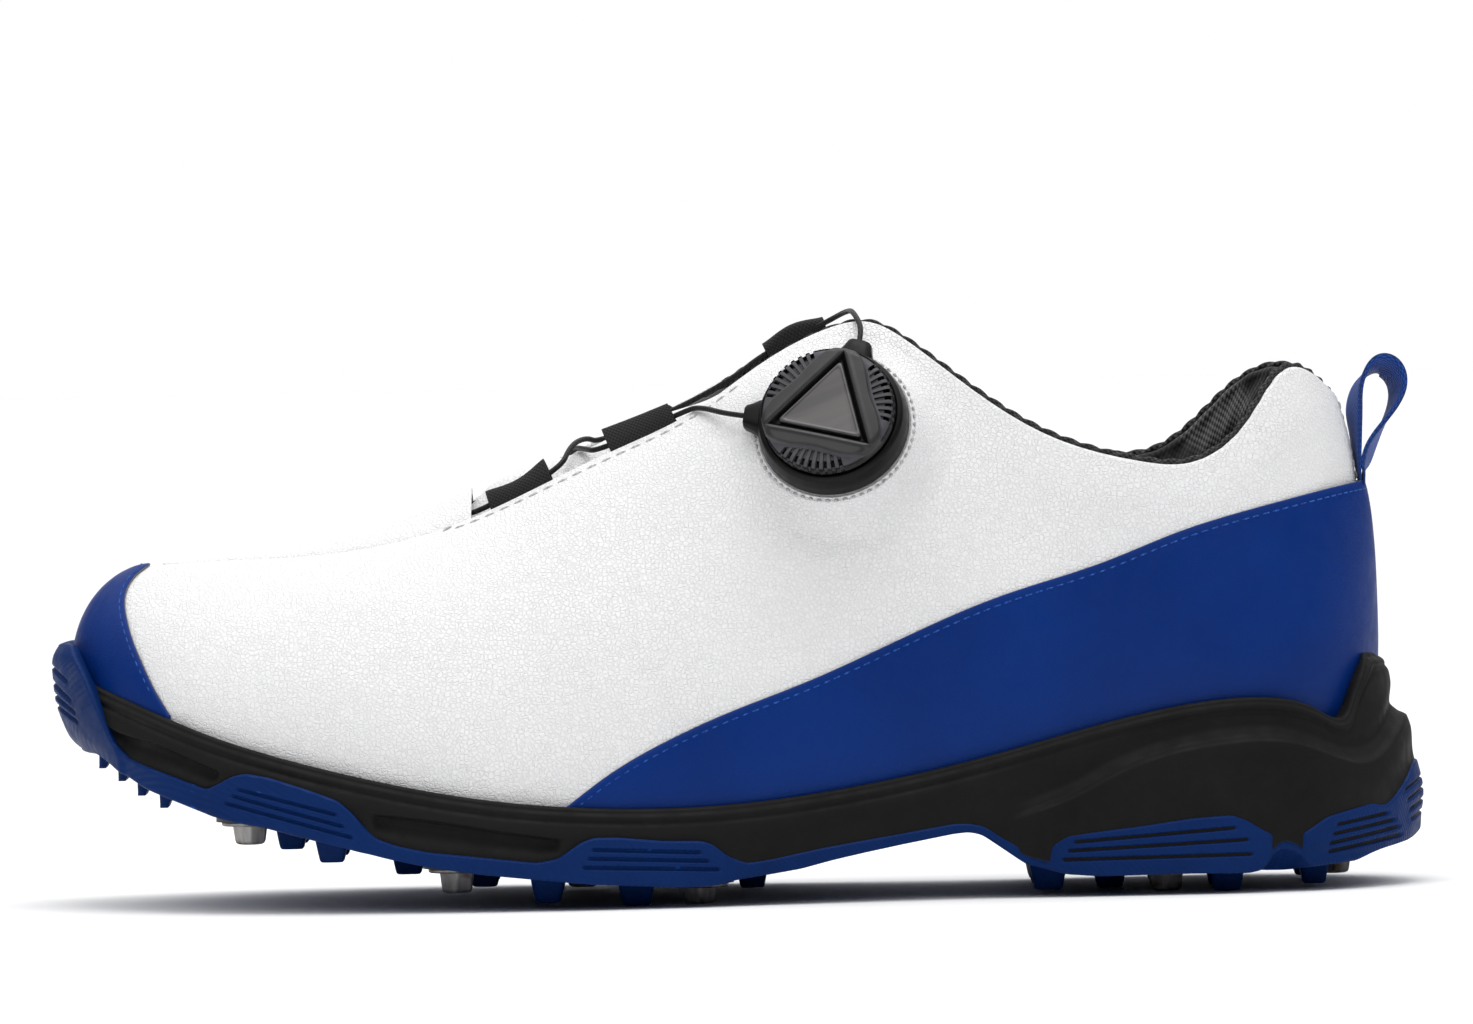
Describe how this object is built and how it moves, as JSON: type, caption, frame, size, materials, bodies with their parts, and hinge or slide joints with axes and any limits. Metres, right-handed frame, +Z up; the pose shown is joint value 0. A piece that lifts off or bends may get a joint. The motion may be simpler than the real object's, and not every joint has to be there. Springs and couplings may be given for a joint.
{
  "type": "golf shoe",
  "caption": "Left golf shoe with a cushioned black midsole, studded blue outsole and a white leather upper closed by a turning lace dial.",
  "frame": {"origin": "on the ground under the middle of the shoe's overall box", "axes": "+X to the heel, -X to the toe, -Y to the lateral side, +Y to the medial side, +Z up"},
  "size_m": [0.3, 0.1077, 0.1295],
  "materials": {
    "white_leather": "soft grained, semi-matt",
    "blue_leather": "smooth satin",
    "blue_rubber": "matt, finely ribbed",
    "black_foam": "matt moulded foam",
    "lining_knit": "black and grey striped textile",
    "pad_foam": "soft open foam",
    "stiffener": "thermoformed sheet",
    "board": "non-woven board",
    "liner_foam": "textile-covered foam",
    "shank_plastic": "moulded nylon",
    "stud_grey": "satin metallic grey",
    "socket_plastic": "moulded nylon",
    "webbing_black": "woven tape",
    "webbing_blue": "woven tape",
    "wire_black": "coated steel wire",
    "dial_black": "fine matt moulded plastic",
    "dial_inner": "acetal, smooth",
    "grip_rubber": "ribbed, matt",
    "badge_grey": "satin dark grey",
    "steel": "zinc plated"
  },
  "bodies": {
    "shoe": {"axle_screw": "steel", "cleat_1": "stud_grey", "cleat_2": "stud_grey", "cleat_3": "stud_grey", "cleat_4": "stud_grey", "cleat_5": "stud_grey", "cleat_6": "stud_grey", "cleat_7": "stud_grey", "cleat_8": "stud_grey", "cleat_socket_1": "socket_plastic", "cleat_socket_2": "socket_plastic", "cleat_socket_3": "socket_plastic", "cleat_socket_4": "socket_plastic", "cleat_socket_5": "socket_plastic", "cleat_socket_6": "socket_plastic", "cleat_socket_7": "socket_plastic", "cleat_socket_8": "socket_plastic", "collar_foam_lateral": "pad_foam", "collar_foam_medial": "pad_foam", "dial_housing": "dial_black", "dial_pad": "white_leather", "guide_far_1": "webbing_black", "guide_far_2": "webbing_black", "guide_far_3": "webbing_black", "guide_near_1": "webbing_black", "guide_near_2": "webbing_black", "heel_counter_lateral": "stiffener", "heel_counter_medial": "stiffener", "insole_board": "board", "lace": "wire_black", "lining_lateral": "lining_knit", "lining_medial": "lining_knit", "midsole": "black_foam", "outsole": "blue_rubber", "quarter_overlay_lateral": "blue_leather", "quarter_overlay_medial": "blue_leather", "ratchet_ring": "dial_inner", "shank": "shank_plastic", "sock_liner": "liner_foam", "toe_cap": "blue_leather", "toe_puff": "stiffener", "tongue": "white_leather", "tongue_foam": "pad_foam", "tongue_lining": "lining_knit", "upper_lateral": "white_leather", "upper_medial": "white_leather", "vamp_lining": "lining_knit", "vamp_strip": "white_leather"},
    "lift": {"lift_sleeve": "dial_inner"},
    "knob": {"knob": "dial_black", "knob_grip": "grip_rubber", "pawl_disc": "dial_inner", "dial_badge": "badge_grey"},
    "spool": {"spool": "dial_inner"},
    "heel_loop": {"pull_loop": "webbing_blue"}
  },
  "joints": [
    {"name": "dial_lift", "type": "slide", "parent": "shoe", "child": "lift", "axis": [-0.1703, -0.8814, 0.4407], "range_m": [0, 0.0025]},
    {"name": "dial_turn", "type": "hinge", "parent": "lift", "child": "knob", "pos_m": [0.0228, -0.03046, 0.10293], "axis": [-0.1703, -0.8814, 0.4407], "continuous": true},
    {"name": "spool_turn", "type": "hinge", "parent": "shoe", "child": "spool", "pos_m": [0.0228, -0.03046, 0.10293], "axis": [-0.1703, -0.8814, 0.4407], "continuous": true},
    {"name": "loop_swing", "type": "hinge", "parent": "shoe", "child": "heel_loop", "pos_m": [0.1405, 0, 0.0889], "axis": [0, 1, 0], "range_deg": [0, 35], "stiffness_Nm_per_rad": 0.02}
  ],
  "couplings": [
    {"joint": "spool_turn", "follows": "dial_turn", "ratio": 1}
  ]
}
